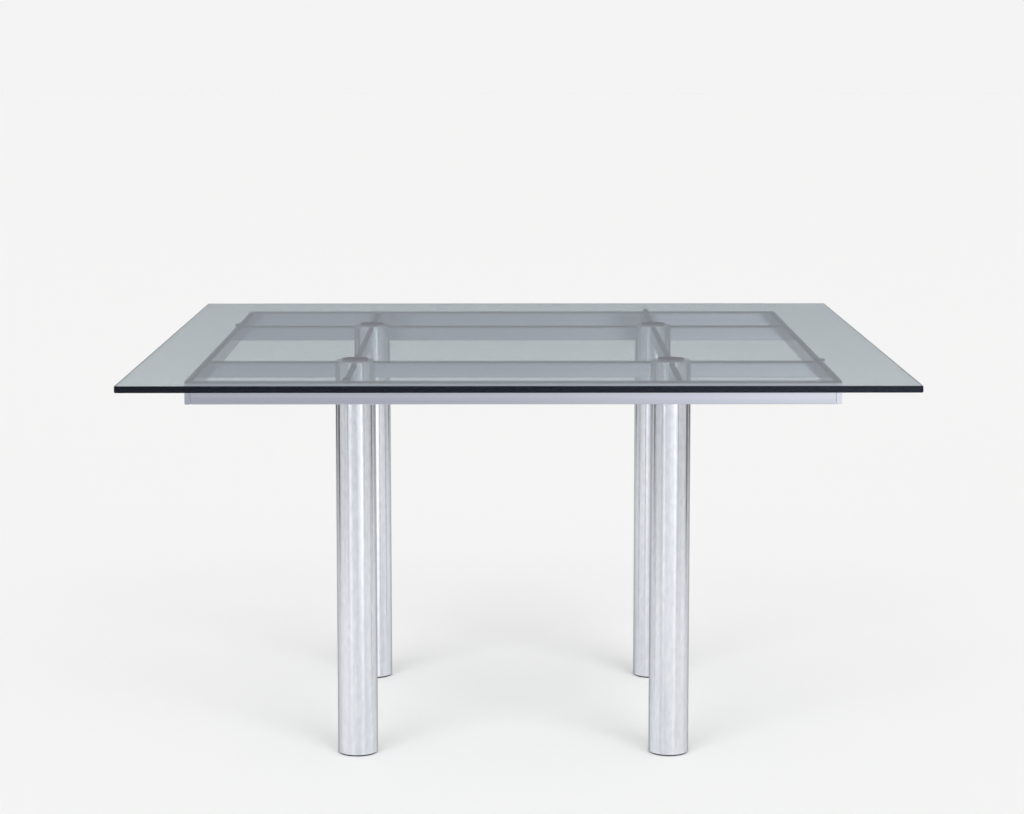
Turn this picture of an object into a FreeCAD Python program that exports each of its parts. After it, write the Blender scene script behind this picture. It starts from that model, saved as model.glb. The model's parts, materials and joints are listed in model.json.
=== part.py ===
"""Extendable dining table: a glass top on four tubular legs and a grid of flat steel rails.

The left and right outer rails each carry one cross rail. Each cross rail slides through slots in
two leg heads, so either side of the frame pulls out along X to carry a leaf.
Origin: on the floor under the middle of the glass top. +X right, +Y to the rear, +Z up, in mm.
"""
import FreeCAD, Part
import os
import Sketcher

Vec = FreeCAD.Vector
doc = FreeCAD.newDocument("dining_table")

# ---------------------------------------------------------------- driving dimensions
DIMENSIONS = {
    "table_height": 760.0,
    "top_size": 1400.0,
    "top_thickness": 12.0,
    "top_corner_radius": 4.0,
    "top_edge_chamfer": 1.0,
    "base_offset": -9.0,         # middle of the base, left of the middle of the glass
    "glass_gap": 5.0,            # from the rails up to the glass
    "frame_width": 1166.0,       # over the outer faces of the left and right rails
    "frame_depth": 1176.0,       # over the outer faces of the front and rear rails
    "rail_height": 31.0,
    "rail_thickness": 10.0,
    "rail_edge_radius": 1.2,
    "strip_height": 3.5,         # dark strip along the top of every rail, part of the rail's height
    "strip_inset": 0.3,          # from each side of the rail
    "end_clearance": 0.8,        # where a rail meets one on another body
    "slot_clearance": 0.2,
    "leg_spacing_across": 594.0,
    "leg_spacing_deep": 600.0,
    "leg_diameter": 76.0,
    "leg_wall": 2.0,
    "leg_rim_radius": 1.2,
    "glide_thickness": 3.0,
    "glide_diameter": 70.0,
    "stud_diameter": 10.0,
    "stud_length": 18.0,
    "plug_height": 24.0,
    "head_height": 90.0,
    "fit_gap": 0.1,              # all round a plug or a head in its tube
    "liner_wall": 1.4,
    "liner_setback": 2.0,        # from the tube's bore to each end of a liner
    "cap_thickness": 2.0,
    "cap_diameter": 73.0,
    "cap_chamfer": 0.8,
    "cap_screw_reach": 21.0,     # from the leg's axis to each screw, along X and along Y
    "screw_diameter": 5.0,
    "screw_length": 14.0,
    "screw_head_diameter": 9.0,
    "screw_head_height": 2.0,
    "cap_pad_diameter": 50.0,
    "rest_pad_width": 11.0,
    "rest_pad_length": 16.0,
    "rest_pad_overhang": 4.0,    # past the outer face of its rail
    "dowel_diameter": 4.0,
    "dowel_length": 20.0,
    "dowel_seat": 14.0,          # part of a dowel's length behind the joint
    "dowel_pitch": 14.0,
    "stop_pin_diameter": 5.0,
    "stop_pin_length": 15.0,
    "slide_travel": 220.0,
    "cut_overrun": 1.0,          # how far a cutting shape runs past the face it opens
}
PARALLEL = 1e-6                  # cross product of two unit vectors taken as parallel
NEAR = 0.01

sheet = doc.addObject("Spreadsheet::Sheet", "Dims")
for row, (alias, number) in enumerate(DIMENSIONS.items(), start=1):
    sheet.set(f"A{row}", alias)
    sheet.set(f"B{row}", str(number))
    sheet.setAlias(f"B{row}", alias)
doc.recompute()

# heights and places that several sub-parts share, as expressions on the sheet
GLASS_BOTTOM = "(Dims.table_height - Dims.top_thickness)"
RAIL_TOP = f"({GLASS_BOTTOM} - Dims.glass_gap)"
RAIL_BOTTOM = f"({RAIL_TOP} - Dims.rail_height)"
HEAD_TOP = f"({RAIL_TOP} + Dims.slot_clearance)"
CAP_TOP = f"({HEAD_TOP} + Dims.cap_thickness)"
HALF_WIDTH = "(Dims.frame_width / 2)"
HALF_DEPTH = "(Dims.frame_depth / 2)"
INNER_FACE_X = f"({HALF_WIDTH} - Dims.rail_thickness)"
INNER_FACE_Y = f"({HALF_DEPTH} - Dims.rail_thickness)"
HALF_RAIL = "Dims.rail_thickness / 2"
INNER_WIDTH = "(Dims.frame_width - 2 * Dims.rail_thickness)"
LEG_X = "(Dims.leg_spacing_across / 2)"
LEG_Y = "(Dims.leg_spacing_deep / 2)"
BORE_RADIUS = "(Dims.leg_diameter / 2 - Dims.leg_wall)"
SLOT_WIDTH = "(Dims.rail_thickness + 2 * Dims.slot_clearance + 2 * Dims.liner_wall)"
SLOT_FLOOR = f"({RAIL_BOTTOM} - Dims.slot_clearance - Dims.liner_wall)"

SCREW_SIDES = ((1, -1), (-1, 1))
LEGS = {"front_left": (-1, -1), "front_right": (1, -1), "rear_left": (-1, 1), "rear_right": (1, 1)}
nodes = []


# ---------------------------------------------------------------- helpers
def value(expression):
    """The number that an expression on the sheet stands for."""
    return float(sheet.evalExpression(str(expression)))


def move(obj, x="0", y="0", z="0"):
    """Bind an object's place; x is measured from the middle of the base."""
    obj.setExpression("Placement.Base.x", f"Dims.base_offset + {x}")
    obj.setExpression("Placement.Base.y", f"{y}")
    obj.setExpression("Placement.Base.z", f"{z}")
    return obj


def bind(obj, **expressions):
    for name, expression in expressions.items():
        obj.setExpression(name, str(expression))
    return obj


def keep(obj, label):
    """Make an object a node, under its own label."""
    obj.Label = label
    nodes.append(obj)
    return obj


def box(length, width, height, x, y, z):
    """A box centred on x and y, standing on z."""
    solid = bind(doc.addObject("Part::Box", "Block"), Length=length, Width=width, Height=height)
    return move(solid, f"({x}) - ({length}) / 2", f"({y}) - ({width}) / 2", z)


def cylinder(radius, height, x, y, z, direction=Vec(0, 0, 1)):
    """A cylinder that starts at x, y, z and runs along a direction."""
    solid = bind(doc.addObject("Part::Cylinder", "Round"), Radius=radius, Height=height)
    solid.Placement = FreeCAD.Placement(Vec(), FreeCAD.Rotation(Vec(0, 0, 1), direction))
    return move(solid, x, y, z)


def cut(base, tools):
    tool = tools[0]
    if len(tools) > 1:
        tool = doc.addObject("Part::MultiFuse", "Tools")
        tool.Shapes = tools
    result = doc.addObject("Part::Cut", "Cut")
    result.Base = base
    result.Tool = tool
    return result


def group(solids, label):
    """Identical pieces that share a node and stay separate solids."""
    result = doc.addObject("Part::Compound", "Group")
    result.Links = solids
    return keep(result, label)


def long_edges_rounded(bar, axis):
    """Round the four edges of a bar that run along its length."""
    doc.recompute()
    radius = value("Dims.rail_edge_radius")
    result = doc.addObject("Part::Fillet", "Rounded")
    result.Base = bar
    picked = []
    for number, edge in enumerate(bar.Shape.Edges, start=1):
        if edge.tangentAt(edge.FirstParameter).cross(axis).Length < PARALLEL:
            picked.append((number, radius, radius))
    result.Edges = picked
    return result


def origin_plane(body, role):
    return next(item for item in body.Origin.OriginFeatures if item.Role == role)


def new_sketch(body, role, name):
    sketch = body.newObject("Sketcher::SketchObject", name)
    sketch.AttachmentSupport = (origin_plane(body, role), [""])
    sketch.MapMode = "FlatFace"
    return sketch


def sketch_circle(sketch, radius):
    index = sketch.addGeometry(Part.Circle(Vec(), Vec(0, 0, 1), value(radius)), False)
    sketch.addConstraint(Sketcher.Constraint("Coincident", index, 3, -1, 1))
    number = sketch.addConstraint(Sketcher.Constraint("Radius", index, value(radius)))
    sketch.setExpression(f"Constraints[{number}]", radius)


def sketch_rectangle(sketch, left, right, bottom, top):
    """A rectangle whose four sides stand at signed distances from the sketch's origin."""
    x0, x1, y0, y1 = value(left), value(right), value(bottom), value(top)
    corners = [Vec(x0, y0, 0), Vec(x1, y0, 0), Vec(x1, y1, 0), Vec(x0, y1, 0)]
    lines = [Part.LineSegment(corners[i], corners[(i + 1) % 4]) for i in range(4)]
    first = sketch.addGeometry(lines, False)[0]
    for i in range(4):
        sketch.addConstraint(Sketcher.Constraint("Coincident", first + i, 2, first + (i + 1) % 4, 1))
        kind = "Vertical" if i % 2 else "Horizontal"
        sketch.addConstraint(Sketcher.Constraint(kind, first + i))
    sides = (("DistanceX", 0, left), ("DistanceY", 0, bottom), ("DistanceX", 2, right), ("DistanceY", 2, top))
    for kind, line, expression in sides:
        datum = Sketcher.Constraint(kind, first + line, 1, value(expression))
        number = sketch.addConstraint(datum)
        sketch.setExpression(f"Constraints[{number}]", expression)


def pad(body, sketch, length):
    feature = body.newObject("PartDesign::Pad", "Pad")
    feature.Profile = sketch
    feature.setExpression("Length", length)
    return feature


def slot(body, role, width, floor, top):
    """Cut a straight slot right across a round piece, from its floor up through the top."""
    sketch = new_sketch(body, role, "SlotSection")
    sketch_rectangle(sketch, f"-{width} / 2", f"{width} / 2", floor, f"{top} + Dims.cut_overrun")
    feature = body.newObject("PartDesign::Pocket", "Slot")
    feature.Profile = sketch
    feature.SideType = "Symmetric"
    feature.setExpression("Length", "2 * Dims.leg_diameter")
    return feature


# ---------------------------------------------------------------- glass top
def glass_top():
    body = doc.addObject("PartDesign::Body", "GlassTop")
    sketch = new_sketch(body, "XY_Plane", "Outline")
    half = "Dims.top_size / 2"
    sketch_rectangle(sketch, f"-{half}", half, f"-{half}", half)
    slab = pad(body, sketch, "Dims.top_thickness")
    doc.recompute()
    upright = [f"Edge{i}" for i, edge in enumerate(slab.Shape.Edges, start=1)
               if edge.tangentAt(edge.FirstParameter).cross(Vec(0, 0, 1)).Length < PARALLEL]
    rounded = body.newObject("PartDesign::Fillet", "Corners")
    rounded.Base = (slab, upright)
    rounded.setExpression("Radius", "Dims.top_corner_radius")
    doc.recompute()
    flat = [f"Face{i}" for i, face in enumerate(rounded.Shape.Faces, start=1)
            if abs(face.normalAt(0, 0).z) > 1 - NEAR]
    bevel = body.newObject("PartDesign::Chamfer", "Arris")
    bevel.Base = (rounded, flat)
    bevel.setExpression("Size", "Dims.top_edge_chamfer")
    body.setExpression("Placement.Base.z", GLASS_BOTTOM)
    keep(body, "glass_top")


# ---------------------------------------------------------------- legs
def screw_places(x, y):
    """Where a leg's two cap screws stand."""
    return [(f"{x} + {side_x} * Dims.cap_screw_reach", f"{y} + {side_y} * Dims.cap_screw_reach")
            for side_x, side_y in SCREW_SIDES]


def leg_tube(name, x, y):
    """A chromed tube, slotted crosswise at its top for the rails."""
    body = doc.addObject("PartDesign::Body", "LegTube")
    sketch = new_sketch(body, "XY_Plane", "Section")
    sketch_circle(sketch, "Dims.leg_diameter / 2")
    sketch_circle(sketch, BORE_RADIUS)
    tube = pad(body, sketch, f"{RAIL_TOP} - Dims.glide_thickness")
    doc.recompute()
    bore = value(f"2 * {BORE_RADIUS}")
    outer_rim = [f"Edge{i}" for i, edge in enumerate(tube.Shape.Edges, start=1)
                 if edge.BoundBox.ZMin > NEAR and edge.BoundBox.ZLength < NEAR
                 and edge.BoundBox.XLength > bore + NEAR]
    rounded = body.newObject("PartDesign::Fillet", "TopRim")
    rounded.Base = (tube, outer_rim)
    rounded.setExpression("Radius", "Dims.leg_rim_radius")
    drop = "Dims.glide_thickness"
    for role in ("YZ_Plane", "XZ_Plane"):
        slot(body, role, "(Dims.rail_thickness + 2 * Dims.slot_clearance)",
             f"{RAIL_BOTTOM} - Dims.slot_clearance - {drop}", f"{RAIL_TOP} - {drop}")
    move(body, x, y, drop)
    keep(body, f"leg_{name}")


def leg_head(name, x, y):
    """The block in the tube's top: a lined slot for the sliding rail, crossed by a fixed one."""
    body = doc.addObject("PartDesign::Body", "LegHead")
    sketch = new_sketch(body, "XY_Plane", "Section")
    sketch_circle(sketch, f"{BORE_RADIUS} - Dims.fit_gap")
    pad(body, sketch, "Dims.head_height")
    base = f"({HEAD_TOP} - Dims.head_height)"
    slot(body, "YZ_Plane", SLOT_WIDTH, f"{SLOT_FLOOR} - {base}", "Dims.head_height")
    slot(body, "XZ_Plane", "Dims.rail_thickness", f"{RAIL_BOTTOM} - {base}", "Dims.head_height")
    move(body, x, y, base)
    bores = [cylinder("Dims.screw_diameter / 2", "Dims.screw_length + Dims.cut_overrun", *place,
                      f"{HEAD_TOP} - Dims.screw_length") for place in screw_places(x, y)]
    keep(cut(body, bores), f"leg_head_{name}")


def slide_liner(name, x, y):
    """A low-friction channel in the head's slot; the sliding rail runs in it."""
    length = f"2 * ({BORE_RADIUS} - Dims.liner_setback)"
    outer = box(length, SLOT_WIDTH, f"{RAIL_TOP} - {SLOT_FLOOR}", x, y, SLOT_FLOOR)
    inner_width = f"{SLOT_WIDTH} - 2 * Dims.liner_wall"
    channel = box(f"{length} + 2 * Dims.cut_overrun", inner_width,
                  f"{RAIL_TOP} - {SLOT_FLOOR} + Dims.cut_overrun", x, y,
                  f"{SLOT_FLOOR} + Dims.liner_wall")
    keep(cut(outer, [channel]), f"slide_liner_{name}")


def countersink(x, y, z):
    """The cone of a countersunk screw head whose flat top is at z."""
    cone = bind(doc.addObject("Part::Cone", "Countersink"), Radius1="Dims.screw_diameter / 2",
                Radius2="Dims.screw_head_diameter / 2", Height="Dims.screw_head_height")
    return move(cone, x, y, f"{z} - Dims.screw_head_height")


def leg_cap(name, x, y):
    """The disc that closes the head and holds the rails down."""
    disc = cylinder("Dims.cap_diameter / 2", "Dims.cap_thickness", x, y, HEAD_TOP)
    doc.recompute()
    size = value("Dims.cap_chamfer")
    bevelled = doc.addObject("Part::Chamfer", "Bevelled")
    bevelled.Base = disc
    top = value(CAP_TOP)
    bevelled.Edges = [(i, size, size) for i, edge in enumerate(disc.Shape.Edges, start=1)
                      if abs(edge.BoundBox.ZMin - top) < NEAR and edge.BoundBox.ZLength < NEAR]
    holes = []
    for place in screw_places(x, y):
        holes.append(cylinder("Dims.screw_diameter / 2", "Dims.cap_thickness + 2 * Dims.cut_overrun",
                              *place, f"{HEAD_TOP} - Dims.cut_overrun"))
        holes.append(countersink(*place, CAP_TOP))
    keep(cut(bevelled, holes), f"leg_cap_{name}")


def cap_screws():
    screws = []
    for sign_x, sign_y in LEGS.values():
        for place in screw_places(f"{sign_x} * {LEG_X}", f"{sign_y} * {LEG_Y}"):
            shank = cylinder("Dims.screw_diameter / 2", "Dims.cap_thickness + Dims.screw_length",
                             *place, f"{HEAD_TOP} - Dims.screw_length")
            screw = doc.addObject("Part::MultiFuse", "Screw")
            screw.Shapes = [shank, countersink(*place, CAP_TOP)]
            screws.append(screw)
    group(screws, "cap_screws")


def cap_pads():
    """A dark disc on each cap, which the glass rests on."""
    pads = [cylinder("Dims.cap_pad_diameter / 2", f"{GLASS_BOTTOM} - {CAP_TOP}",
                     f"{sign_x} * {LEG_X}", f"{sign_y} * {LEG_Y}", CAP_TOP)
            for sign_x, sign_y in LEGS.values()]
    group(pads, "cap_pads")


def foot_plug(name, x, y):
    """A plug in the tube's foot, bored for the glide's stud."""
    plug = cylinder(f"{BORE_RADIUS} - Dims.fit_gap", "Dims.plug_height", x, y, "Dims.glide_thickness")
    bore = cylinder("Dims.stud_diameter / 2", "2 * Dims.plug_height", x, y, "0")
    keep(cut(plug, [bore]), f"foot_plug_{name}")


def foot_glide(name, x, y):
    """A dark disc under the leg on a threaded stud, for levelling."""
    disc = cylinder("Dims.glide_diameter / 2", "Dims.glide_thickness", x, y, "0")
    stud = cylinder("Dims.stud_diameter / 2", "Dims.stud_length + Dims.glide_thickness", x, y, "0")
    glide = doc.addObject("Part::MultiFuse", "Glide")
    glide.Shapes = [disc, stud]
    keep(glide, f"foot_glide_{name}")


# ---------------------------------------------------------------- rails
def dowels_along(axis, x, y, sign):
    """Two dowels, one over the other, that start behind the joint at x, y and run across it."""
    direction = Vec(sign, 0, 0) if axis == "x" else Vec(0, sign, 0)
    pair = []
    for side in (-1, 1):
        z = f"{RAIL_BOTTOM} + Dims.rail_height / 2 + {side} * Dims.dowel_pitch / 2"
        start = f"- {sign} * Dims.dowel_seat"
        place = (f"{x} {start}", y) if axis == "x" else (x, f"{y} {start}")
        pair.append(cylinder("Dims.dowel_diameter / 2", "Dims.dowel_length", *place, z, direction))
    return pair


strips = {"left": [], "right": [], "fixed": []}     # strips of each carriage, and of the fixed rails


def rail(label, axis, length, x, y, dowels=(), holder="fixed"):
    """A flat steel bar on edge, with rounded long edges and dowel holes, under a dark strip."""
    across = axis == "x"
    size = (length, "Dims.rail_thickness") if across else ("Dims.rail_thickness", length)
    bar = box(*size, "Dims.rail_height - Dims.strip_height", x, y, RAIL_BOTTOM)
    bar = long_edges_rounded(bar, Vec(1, 0, 0) if across else Vec(0, 1, 0))
    if dowels:
        bar = cut(bar, list(dowels))
    keep(bar, label)
    width = "Dims.rail_thickness - 2 * Dims.strip_inset"
    size = (length, width) if across else (width, length)
    strips[holder].append(box(*size, "Dims.strip_height", x, y, f"{RAIL_TOP} - Dims.strip_height"))


def sliding_rails(side, sign, end, end_sign):
    """A carriage: one outer side rail, the cross rail that slides, and the pin that stops it."""
    slide_y = f"{end_sign} * {LEG_Y}"
    joint = ("x", f"{sign} * {INNER_FACE_X}", slide_y, sign)
    rail(f"{side}_outer_rail", "y", "Dims.frame_depth", f"{sign} * ({HALF_WIDTH} - {HALF_RAIL})", "0",
         dowels_along(*joint), side)
    stop = f"({LEG_X} + Dims.leg_diameter / 2 + Dims.stop_pin_diameter / 2 + Dims.slide_travel)"
    pin = ("Dims.stop_pin_diameter / 2", "Dims.stop_pin_length", f"{-sign} * {stop}",
           f"{slide_y} - Dims.stop_pin_length / 2", f"{RAIL_BOTTOM} + Dims.rail_height / 2", Vec(0, 1, 0))
    rail(f"{end}_cross_rail", "x", f"{INNER_WIDTH} - Dims.end_clearance",
         f"{sign} * Dims.end_clearance / 2", slide_y, dowels_along(*joint) + [cylinder(*pin)], side)
    keep(cylinder(*pin), f"{side}_stop_pin")
    group(dowels_along(*joint), f"{side}_joint_dowels")


def fixed_outer_dowels(end_sign):
    """The dowels of one fixed outer rail, at the ends of the two inner rails."""
    joint_y = f"{end_sign} * {INNER_FACE_Y}"
    return [dowel for sign in (-1, 1)
            for dowel in dowels_along("y", f"{sign} * {LEG_X}", joint_y, end_sign)]


def fixed_outer_rail(end, end_sign):
    """The front or rear side of the frame, between the side rails."""
    rail(f"{end}_outer_rail", "x", f"{INNER_WIDTH} - 2 * Dims.end_clearance", "0",
         f"{end_sign} * ({HALF_DEPTH} - {HALF_RAIL})", fixed_outer_dowels(end_sign))
    group(fixed_outer_dowels(end_sign), f"{end}_joint_dowels")


def inner_rails(side, sign):
    """A line of three fixed rails: between two leg heads, and from each head out to the frame."""
    x = f"{sign} * {LEG_X}"
    seat = f"({SLOT_WIDTH} / 2 + Dims.slot_clearance)"
    rail(f"{side}_inner_rail_middle", "y", f"Dims.leg_spacing_deep - 2 * {seat}", x, "0")
    reach = f"({INNER_FACE_Y} - {LEG_Y} - {seat})"
    for end, end_sign in (("front", -1), ("rear", 1)):
        rail(f"{side}_inner_rail_{end}", "y", reach, x,
             f"{end_sign} * ({LEG_Y} + {seat} + {reach} / 2)",
             dowels_along("y", x, f"{end_sign} * {INNER_FACE_Y}", end_sign))


def rest_pads():
    """A dark block on each of four rail joints; each stands out a little past its outer rail."""
    middle = "(Dims.rest_pad_length / 2 - Dims.rest_pad_overhang)"
    height = "Dims.glass_gap - Dims.end_clearance"
    sliding = (("left_rest_pad", -1, 1), ("right_rest_pad", 1, -1))
    for label, sign_x, sign_y in sliding:
        keep(box("Dims.rest_pad_length", "Dims.rest_pad_width", height,
                 f"{sign_x} * ({HALF_WIDTH} - {middle})", f"{sign_y} * {LEG_Y}", RAIL_TOP), label)
    fixed = (("front_rest_pad", -1, -1), ("rear_rest_pad", 1, 1))
    for label, sign_x, sign_y in fixed:
        keep(box("Dims.rest_pad_width", "Dims.rest_pad_length", "Dims.glass_gap",
                 f"{sign_x} * {LEG_X}", f"{sign_y} * ({HALF_DEPTH} - {middle})", RAIL_TOP), label)


# ---------------------------------------------------------------- build
glass_top()
for leg_name, (leg_sign_x, leg_sign_y) in LEGS.items():
    place = (f"{leg_sign_x} * {LEG_X}", f"{leg_sign_y} * {LEG_Y}")
    leg_tube(leg_name, *place)
    leg_head(leg_name, *place)
    slide_liner(leg_name, *place)
    leg_cap(leg_name, *place)
    foot_plug(leg_name, *place)
    foot_glide(leg_name, *place)
cap_screws()
cap_pads()
sliding_rails("left", -1, "rear", 1)
sliding_rails("right", 1, "front", -1)
for end_name, end_name_sign in (("front", -1), ("rear", 1)):
    fixed_outer_rail(end_name, end_name_sign)
for side_name, side_name_sign in (("left", -1), ("right", 1)):
    inner_rails(side_name, side_name_sign)
for holder_name, holder_strips in strips.items():
    group(holder_strips, f"{holder_name}_rail_strips")
rest_pads()
doc.recompute()

failed = [obj.Label for obj in doc.Objects if "Invalid" in obj.State or "Error" in obj.State]
if failed:
    raise RuntimeError(f"objects failed to recompute: {failed}")
for node in nodes:
    if node.Shape.isNull() or not node.Shape.isValid():
        raise RuntimeError(f"bad shape: {node.Label}")

os.makedirs("parts", exist_ok=True)
for node in nodes:
    node.Shape.exportStep(f"parts/{node.Label}.step")
    print(f"{node.Label}: {len(node.Shape.Solids)} solid(s), {node.Shape.Volume / 1000:.2f} cm3")
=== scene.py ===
"""Looks of the extendable dining table: smoked glass, polished chrome legs and satin rails."""
import json
import math

import bpy
from mathutils import Euler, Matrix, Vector


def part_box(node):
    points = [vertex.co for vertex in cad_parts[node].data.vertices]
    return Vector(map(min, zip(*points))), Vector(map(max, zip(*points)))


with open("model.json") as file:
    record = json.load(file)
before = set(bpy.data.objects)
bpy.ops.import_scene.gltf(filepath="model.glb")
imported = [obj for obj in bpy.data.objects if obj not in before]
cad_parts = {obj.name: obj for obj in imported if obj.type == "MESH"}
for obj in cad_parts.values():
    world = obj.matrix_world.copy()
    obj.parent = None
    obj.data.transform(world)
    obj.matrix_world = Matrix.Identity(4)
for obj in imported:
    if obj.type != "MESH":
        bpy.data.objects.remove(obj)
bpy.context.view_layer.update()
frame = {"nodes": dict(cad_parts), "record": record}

# ---------------------------------------------------------------- camera
CAMERA_PLACE = (-0.0177, -5.0636, 1.3518)
CAMERA_PITCH = math.radians(6.395)
CAMERA_YAW = math.radians(-0.081)
CAMERA_ROLL = math.radians(-0.026)
LENS_PER_WIDTH = 2.4889         # focal length over the width of the picture
CAMERA_SHIFT = -0.0781          # keeps the legs nearly upright in the picture
SENSOR = 36.0

# ---------------------------------------------------------------- light and shade of the studio
FLOOR_REACH = 60.0
FLOOR_COLOUR = (0.885, 0.885, 0.88)
FLOOR_ROUGHNESS = 0.9
# A colour ramp's stops: the position of each, then its grey or its colour.
SKY_STOPS = [(0.0, 0.90), (0.035, 0.90), (0.07, (0.315, 0.33, 0.36)), (0.35, 0.60), (1.0, 0.97)]
SUN_TILT = math.radians(55)     # from straight overhead towards the front
SUN_SIDE = math.radians(30)     # to either side of straight in front
SUN_SPREAD = math.radians(32)
SUNS = (("right_sun", 1, 0.84), ("left_sun", -1, 0.66))     # name, side and strength
# Name, place, width and power.
STRIP_LIGHTS = (("key", (2.3, -3.9, 2.6), 0.5, 90), ("fill", (-2.5, -3.9, 2.6), 0.35, 60))
STRIP_LENGTH = 2.0
STRIP_AIM = (0, 0, 0.4)
FLAG_TOP = 1.1                  # low enough to stay out of the glass top's reflections
FRONT_FLAG = ((-4.0, -3.4), (4.0, -3.4))
LEFT_FLAG = ((-2.4, -2.6), (-2.4, 3.6))
RIGHT_FLAG = ((2.4, -2.6), (2.4, 3.6))
FRONT_STOPS = [(0.0, 0.01), (0.07, 0.01), (0.085, (0.66, 0.67, 0.72)), (0.38, (0.64, 0.65, 0.71)),
               (0.50, (0.78, 0.79, 0.85)), (0.62, (1.22, 1.24, 1.30)), (0.78, 1.10), (0.89, 0.90),
               (0.90, 0.01), (0.95, 0.01), (0.96, 0.75), (1.0, 0.70)]
SIDE_STOPS = [(0.0, 0.02), (0.03, 0.02), (0.05, 0.72), (0.42, 0.66), (0.44, 0.02), (0.52, 0.02),
              (0.54, 0.55), (0.68, 0.50), (0.74, 0.01), (1.0, 0.01)]

# ---------------------------------------------------------------- finishes
EDGE_TINT = (0.50, 0.50, 0.52)      # chrome at a glancing angle, against its colour face on
CHROME_ANISOTROPY = 0.9
CHROME_TURN = 0.25                  # a quarter turn, which sets the streaks upright
CHROME_ROUGHNESS = (0.195, 0.21)
CHROME_STREAKS = ((0.70, 0.72, 0.76), (0.85, 0.87, 0.915))
CHROME_MOTTLE = ((0.93, 0.935, 0.94), (1.03, 1.03, 1.025))
RAIL_ROUGHNESS = (0.07, 0.15)
RAIL_TONES = ((0.52, 0.53, 0.58), (0.60, 0.61, 0.65))
ALUMINIUM_TONES = ((0.55, 0.55, 0.56), (0.66, 0.66, 0.67))
ALUMINIUM_ROUGHNESS = (0.336, 0.525)
STEEL_TONES = ((0.50, 0.50, 0.52), (0.62, 0.62, 0.64))
STEEL_ROUGHNESS = (0.224, 0.35)
PLASTIC_SPECULAR = 0.3
DARK_TONES = ((0.020, 0.020, 0.023), (0.040, 0.038, 0.042))
DARK_ROUGHNESS = (0.7225, 1.0)
WHITE_TONES = ((0.74, 0.74, 0.72), (0.84, 0.84, 0.82))
WHITE_ROUGHNESS = (0.3825, 0.54)
GLASS_IOR = 1.5
GLASS_FACE_TINT = (0.52, 0.62, 0.80)     # its reflection face on; at a glancing angle it stays white
GLASS_DEPTH_COLOUR = (0.75, 0.86, 0.885)
GLASS_DEPTH_DENSITY = 45.0

NOISE_SPAN = (0.35, 0.65)           # the middle of a noise's range, which a ramp spreads out

# Noise patterns: scale, stretch along each axis, and detail.
EVEN = (1, 1, 1)
SMUDGES = (7.0, EVEN, 6.0)
DRAWN_LINES = (60.0, (1, 1, 0.02), 3.0)
CLOUDS = (150.0, (1, 1, 0.4), 9.0)
METAL_GRAIN = (180.0, EVEN, 6.0)
MOULDED_GRAIN = (420.0, EVEN, 4.0)
GLASS_WAVES = (4.0, (1.0, 0.3, 1.0), 2.0)
# The rails' patterns: scale and detail, with a stretch along the rail.
RAIL_LINES = (160.0, 5.0)
RAIL_SHADES = (60.0, 3.0)
ALONG_X = (0.01, 1, 1)
ALONG_Y = (1, 0.01, 1)

# Bumps: strength and depth.
RAIL_BUMP = (0.05, 0.0003)
METAL_BUMP = (0.08, 0.0003)
MOULDED_BUMP = (0.25, 0.0003)
GLASS_BUMP = (0.05, 0.0005)

# The mix node's sockets for colours.
MIX_FIRST, MIX_SECOND, MIX_RESULT = 6, 7, 2


def make_camera():
    """The camera that sees the table from the front and a little above."""
    data = bpy.data.cameras.new("Camera")
    data.sensor_width = SENSOR
    data.lens = LENS_PER_WIDTH * SENSOR
    data.shift_y = CAMERA_SHIFT
    camera = bpy.data.objects.new("Camera", data)
    camera.location = CAMERA_PLACE
    tilt = Euler((math.pi / 2 - CAMERA_PITCH, 0, CAMERA_YAW)).to_matrix()
    camera.rotation_euler = (tilt @ Euler((0, 0, CAMERA_ROLL)).to_matrix()).to_euler()
    bpy.context.scene.collection.objects.link(camera)
    bpy.context.scene.camera = camera


# ---------------------------------------------------------------- studio
def strip_light(name, place, width, power, receivers):
    """A strip light that only the objects of one collection show, in their reflections."""
    data = bpy.data.lights.new(name, "AREA")
    data.shape = "RECTANGLE"
    data.size = width
    data.size_y = STRIP_LENGTH
    data.energy = power
    light = bpy.data.objects.new(name, data)
    light.location = place
    light.rotation_euler = (Vector(STRIP_AIM) - Vector(place)).to_track_quat("-Z", "Y").to_euler()
    light.visible_diffuse = False
    light.light_linking.receiver_collection = receivers
    bpy.context.scene.collection.objects.link(light)


def soft_suns():
    """Two broad lights from the front, which set soft shadows of the legs back on both sides."""
    for name, side, strength in SUNS:
        data = bpy.data.lights.new(name, "SUN")
        data.energy = strength
        data.angle = SUN_SPREAD
        light = bpy.data.objects.new(name, data)
        light.rotation_euler = (SUN_TILT, 0, side * SUN_SIDE)
        light.visible_glossy = False
        bpy.context.scene.collection.objects.link(light)


def plane(name, corners, material):
    """A flat stage piece with four corners."""
    mesh = bpy.data.meshes.new(name)
    mesh.from_pydata(corners, [], [(0, 1, 2, 3)])
    mesh.materials.append(material)
    piece = bpy.data.objects.new(name, mesh)
    bpy.context.scene.collection.objects.link(piece)
    return piece


def make_floor():
    """A pale floor that runs far out."""
    material, shader = new_material("pale_floor")
    shader.inputs["Base Color"].default_value = (*FLOOR_COLOUR, 1)
    shader.inputs["Roughness"].default_value = FLOOR_ROUGHNESS
    corners = [(-FLOOR_REACH, -FLOOR_REACH, 0), (FLOOR_REACH, -FLOOR_REACH, 0),
               (FLOOR_REACH, FLOOR_REACH, 0), (-FLOOR_REACH, FLOOR_REACH, 0)]
    plane("floor", corners, material)


def opaque(tone):
    """A grey or a colour, as red, green, blue and alpha."""
    return (*tone, 1) if isinstance(tone, tuple) else (tone, tone, tone, 1)


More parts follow.
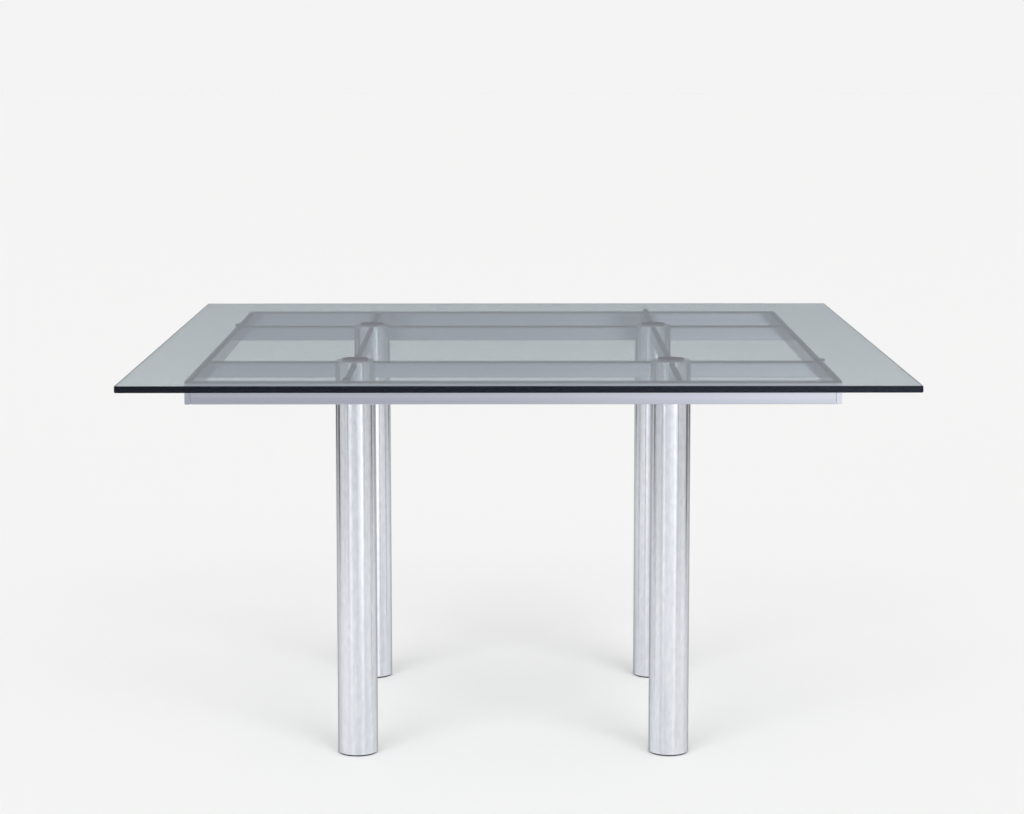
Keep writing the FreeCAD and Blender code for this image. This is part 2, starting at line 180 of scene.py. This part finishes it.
def colour_stops(ramp_node, stops):
    """Set a colour ramp's stops from (position, grey or colour) pairs."""
    elements = ramp_node.color_ramp.elements
    while len(elements) < len(stops):
        elements.new(0.5)
    for element, (position, tone) in zip(elements, stops):
        element.position = position
        element.color = opaque(tone)


def make_sky():
    """A soft dome: white at the horizon, grey just above it and brightest overhead."""
    world = bpy.data.worlds.new("World")
    world.use_nodes = True
    nodes, links = world.node_tree.nodes, world.node_tree.links
    coords = nodes.new("ShaderNodeTexCoord")
    split = nodes.new("ShaderNodeSeparateXYZ")
    dome = nodes.new("ShaderNodeValToRGB")
    colour_stops(dome, SKY_STOPS)
    links.new(coords.outputs["Generated"], split.inputs["Vector"])
    links.new(split.outputs["Z"], dome.inputs["Fac"])
    links.new(dome.outputs["Color"], nodes["Background"].inputs["Color"])
    bpy.context.scene.world = world
    bpy.context.scene.view_settings.view_transform = "Standard"


def flag(name, corners, stops):
    """A studio panel that only shows in reflections, shaded along its own length."""
    material = bpy.data.materials.new(name)
    material.use_nodes = True
    nodes, links = material.node_tree.nodes, material.node_tree.links
    nodes.remove(nodes["Principled BSDF"])
    coords = nodes.new("ShaderNodeTexCoord")
    split = nodes.new("ShaderNodeSeparateXYZ")
    shades = nodes.new("ShaderNodeValToRGB")
    glow = nodes.new("ShaderNodeEmission")
    colour_stops(shades, stops)
    start, end = corners[0], corners[1]
    along = "X" if abs(end[0] - start[0]) > abs(end[1] - start[1]) else "Y"
    links.new(coords.outputs["Generated"], split.inputs["Vector"])
    links.new(split.outputs[along], shades.inputs["Fac"])
    links.new(shades.outputs["Color"], glow.inputs["Color"])
    links.new(glow.outputs["Emission"], nodes["Material Output"].inputs["Surface"])
    panel = plane(name, corners, material)
    panel.visible_camera = False
    panel.visible_diffuse = False
    panel.visible_transmission = False
    panel.visible_shadow = False


def upright(name, start, end, stops):
    """A flag standing on the floor between two points."""
    flag(name, [(*start, 0.0), (*end, 0.0), (*end, FLAG_TOP), (*start, FLAG_TOP)], stops)


def nodes_in(*slots):
    """The names of the CAD nodes whose finish is one of these slots."""
    return [part["node"] for part in frame["record"]["subparts"] if part["material_slot"] in slots]


def make_studio():
    """The floor, the dome, the suns and the panels, and strip lights that only the metal shows."""
    make_floor()
    make_sky()
    soft_suns()
    upright("front_flag", *FRONT_FLAG, FRONT_STOPS)
    upright("left_flag", *LEFT_FLAG, SIDE_STOPS)
    upright("right_flag", *RIGHT_FLAG, SIDE_STOPS)
    metalwork = bpy.data.collections.new("metalwork")
    for name in nodes_in("polished_chrome", "satin_chrome"):
        metalwork.objects.link(frame["nodes"][name])
    for name, place, width, power in STRIP_LIGHTS:
        strip_light(name, place, width, power, metalwork)


# ---------------------------------------------------------------- materials
def new_material(name, metallic=0.0):
    """A material and its shader node."""
    material = bpy.data.materials.new(name)
    material.use_nodes = True
    shader = material.node_tree.nodes["Principled BSDF"]
    shader.inputs["Metallic"].default_value = metallic
    return material, shader


def noise(tree, pattern):
    """Noise in the object's own coordinates, from a pattern's scale, stretch and detail."""
    scale, stretch, detail = pattern
    coords = tree.nodes.new("ShaderNodeTexCoord")
    mapping = tree.nodes.new("ShaderNodeMapping")
    mapping.inputs["Scale"].default_value = stretch
    texture = tree.nodes.new("ShaderNodeTexNoise")
    texture.inputs["Scale"].default_value = scale
    texture.inputs["Detail"].default_value = detail
    tree.links.new(coords.outputs["Object"], mapping.inputs["Vector"])
    tree.links.new(mapping.outputs["Vector"], texture.inputs["Vector"])
    return texture.outputs["Fac"]


def ramp(tree, source, tones):
    """Map the middle of a noise's range to a range of greys or colours."""
    node = tree.nodes.new("ShaderNodeValToRGB")
    colour_stops(node, list(zip(NOISE_SPAN, tones)))
    tree.links.new(source, node.inputs["Fac"])
    return node.outputs["Color"]


def bump(tree, shader, source, strength, depth):
    """Raise and lower the surface a little, as the source says."""
    node = tree.nodes.new("ShaderNodeBump")
    node.inputs["Strength"].default_value = strength
    node.inputs["Distance"].default_value = depth
    tree.links.new(source, node.inputs["Height"])
    tree.links.new(node.outputs["Normal"], shader.inputs["Normal"])


def multiplied(tree, first, second):
    """One colour times another."""
    mix = tree.nodes.new("ShaderNodeMix")
    mix.data_type = "RGBA"
    mix.blend_type = "MULTIPLY"
    mix.inputs["Factor"].default_value = 1.0
    tree.links.new(first, mix.inputs[MIX_FIRST])
    tree.links.new(second, mix.inputs[MIX_SECOND])
    return mix.outputs[MIX_RESULT]


def chrome_material():
    """Chromed tube, polished round its girth, which draws highlights out into upright streaks."""
    material, shader = new_material("polished_chrome", 1.0)
    tree = material.node_tree
    shader.inputs["Specular Tint"].default_value = (*EDGE_TINT, 1)
    shader.inputs["Anisotropic"].default_value = CHROME_ANISOTROPY
    shader.inputs["Anisotropic Rotation"].default_value = CHROME_TURN
    around = tree.nodes.new("ShaderNodeTangent")
    around.direction_type = "RADIAL"
    around.axis = "Z"
    tree.links.new(around.outputs["Tangent"], shader.inputs["Tangent"])
    tree.links.new(ramp(tree, noise(tree, SMUDGES), CHROME_ROUGHNESS), shader.inputs["Roughness"])
    streaks = ramp(tree, noise(tree, DRAWN_LINES), CHROME_STREAKS)
    mottle = ramp(tree, noise(tree, CLOUDS), CHROME_MOTTLE)
    tree.links.new(multiplied(tree, streaks, mottle), shader.inputs["Base Color"])
    return material


def along_rail(tree, pattern, stretch):
    """Noise drawn out along a rail."""
    scale, detail = pattern
    return noise(tree, (scale, stretch, detail))


def rail_material(name, stretch):
    """Chromed flat bar, polished along its length, with a faint line here and there."""
    material, shader = new_material(name, 1.0)
    tree = material.node_tree
    shader.inputs["Specular Tint"].default_value = (*EDGE_TINT, 1)
    lines = along_rail(tree, RAIL_LINES, stretch)
    shades = along_rail(tree, RAIL_SHADES, stretch)
    tree.links.new(ramp(tree, lines, RAIL_ROUGHNESS), shader.inputs["Roughness"])
    tree.links.new(ramp(tree, shades, RAIL_TONES), shader.inputs["Base Color"])
    bump(tree, shader, lines, *RAIL_BUMP)
    return material


def grained(name, pattern, tones, roughness, relief, metallic=0.0):
    """A material whose grain varies its colour, its roughness and its height."""
    material, shader = new_material(name, metallic)
    tree = material.node_tree
    grain = noise(tree, pattern)
    tree.links.new(ramp(tree, grain, tones), shader.inputs["Base Color"])
    tree.links.new(ramp(tree, grain, roughness), shader.inputs["Roughness"])
    bump(tree, shader, grain, *relief)
    return material, shader


def metal_material(name, tones, roughness):
    """Plain metal with a fine grain."""
    return grained(name, METAL_GRAIN, tones, roughness, METAL_BUMP, 1.0)[0]


def plastic_material(name, tones, roughness):
    """Moulded plastic with a fine, dull grain."""
    material, shader = grained(name, MOULDED_GRAIN, tones, roughness, MOULDED_BUMP)
    shader.inputs["Specular IOR Level"].default_value = PLASTIC_SPECULAR
    return material


def glass_material():
    """Smoked float glass: tinted in its depth, with the faint waves that rolling leaves."""
    material, shader = new_material("smoked_glass")
    tree = material.node_tree
    shader.inputs["Base Color"].default_value = (1, 1, 1, 1)
    shader.inputs["Roughness"].default_value = 0.0
    shader.inputs["Transmission Weight"].default_value = 1.0
    shader.inputs["IOR"].default_value = GLASS_IOR
    shader.inputs["Specular Tint"].default_value = (*GLASS_FACE_TINT, 1)
    bump(tree, shader, noise(tree, GLASS_WAVES), *GLASS_BUMP)
    depth = tree.nodes.new("ShaderNodeVolumeAbsorption")
    depth.inputs["Color"].default_value = (*GLASS_DEPTH_COLOUR, 1)
    depth.inputs["Density"].default_value = GLASS_DEPTH_DENSITY
    tree.links.new(depth.outputs["Volume"], tree.nodes["Material Output"].inputs["Volume"])
    return material


def runs_across(name):
    """Whether a node is longer across the table than from front to back."""
    low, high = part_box(name)
    return high[0] - low[0] > high[1] - low[1]


def dress_nodes():
    """Give each CAD node its finish by its slot, and each rail the one drawn out along it."""
    finishes = {
        "smoked_glass": glass_material(),
        "polished_chrome": chrome_material(),
        "cast_aluminium": metal_material("cast_aluminium", ALUMINIUM_TONES, ALUMINIUM_ROUGHNESS),
        "screw_steel": metal_material("screw_steel", STEEL_TONES, STEEL_ROUGHNESS),
        "dark_plastic": plastic_material("dark_plastic", DARK_TONES, DARK_ROUGHNESS),
        "white_polymer": plastic_material("white_polymer", WHITE_TONES, WHITE_ROUGHNESS),
    }
    across = rail_material("satin_chrome_across", ALONG_X)
    deep = rail_material("satin_chrome_deep", ALONG_Y)
    for part in frame["record"]["subparts"]:
        name = part["node"]
        finish = finishes.get(part["material_slot"])
        if finish is None:
            finish = across if runs_across(name) else deep
        materials = frame["nodes"][name].data.materials
        materials.clear()
        materials.append(finish)


def clear_glass():
    """Let the suns and the dome light the floor through the glass as if it weren't there."""
    glass = frame["nodes"]["glass_top"]
    glass.visible_shadow = False
    glass.visible_diffuse = False


make_camera()
make_studio()
dress_nodes()
clear_glass()
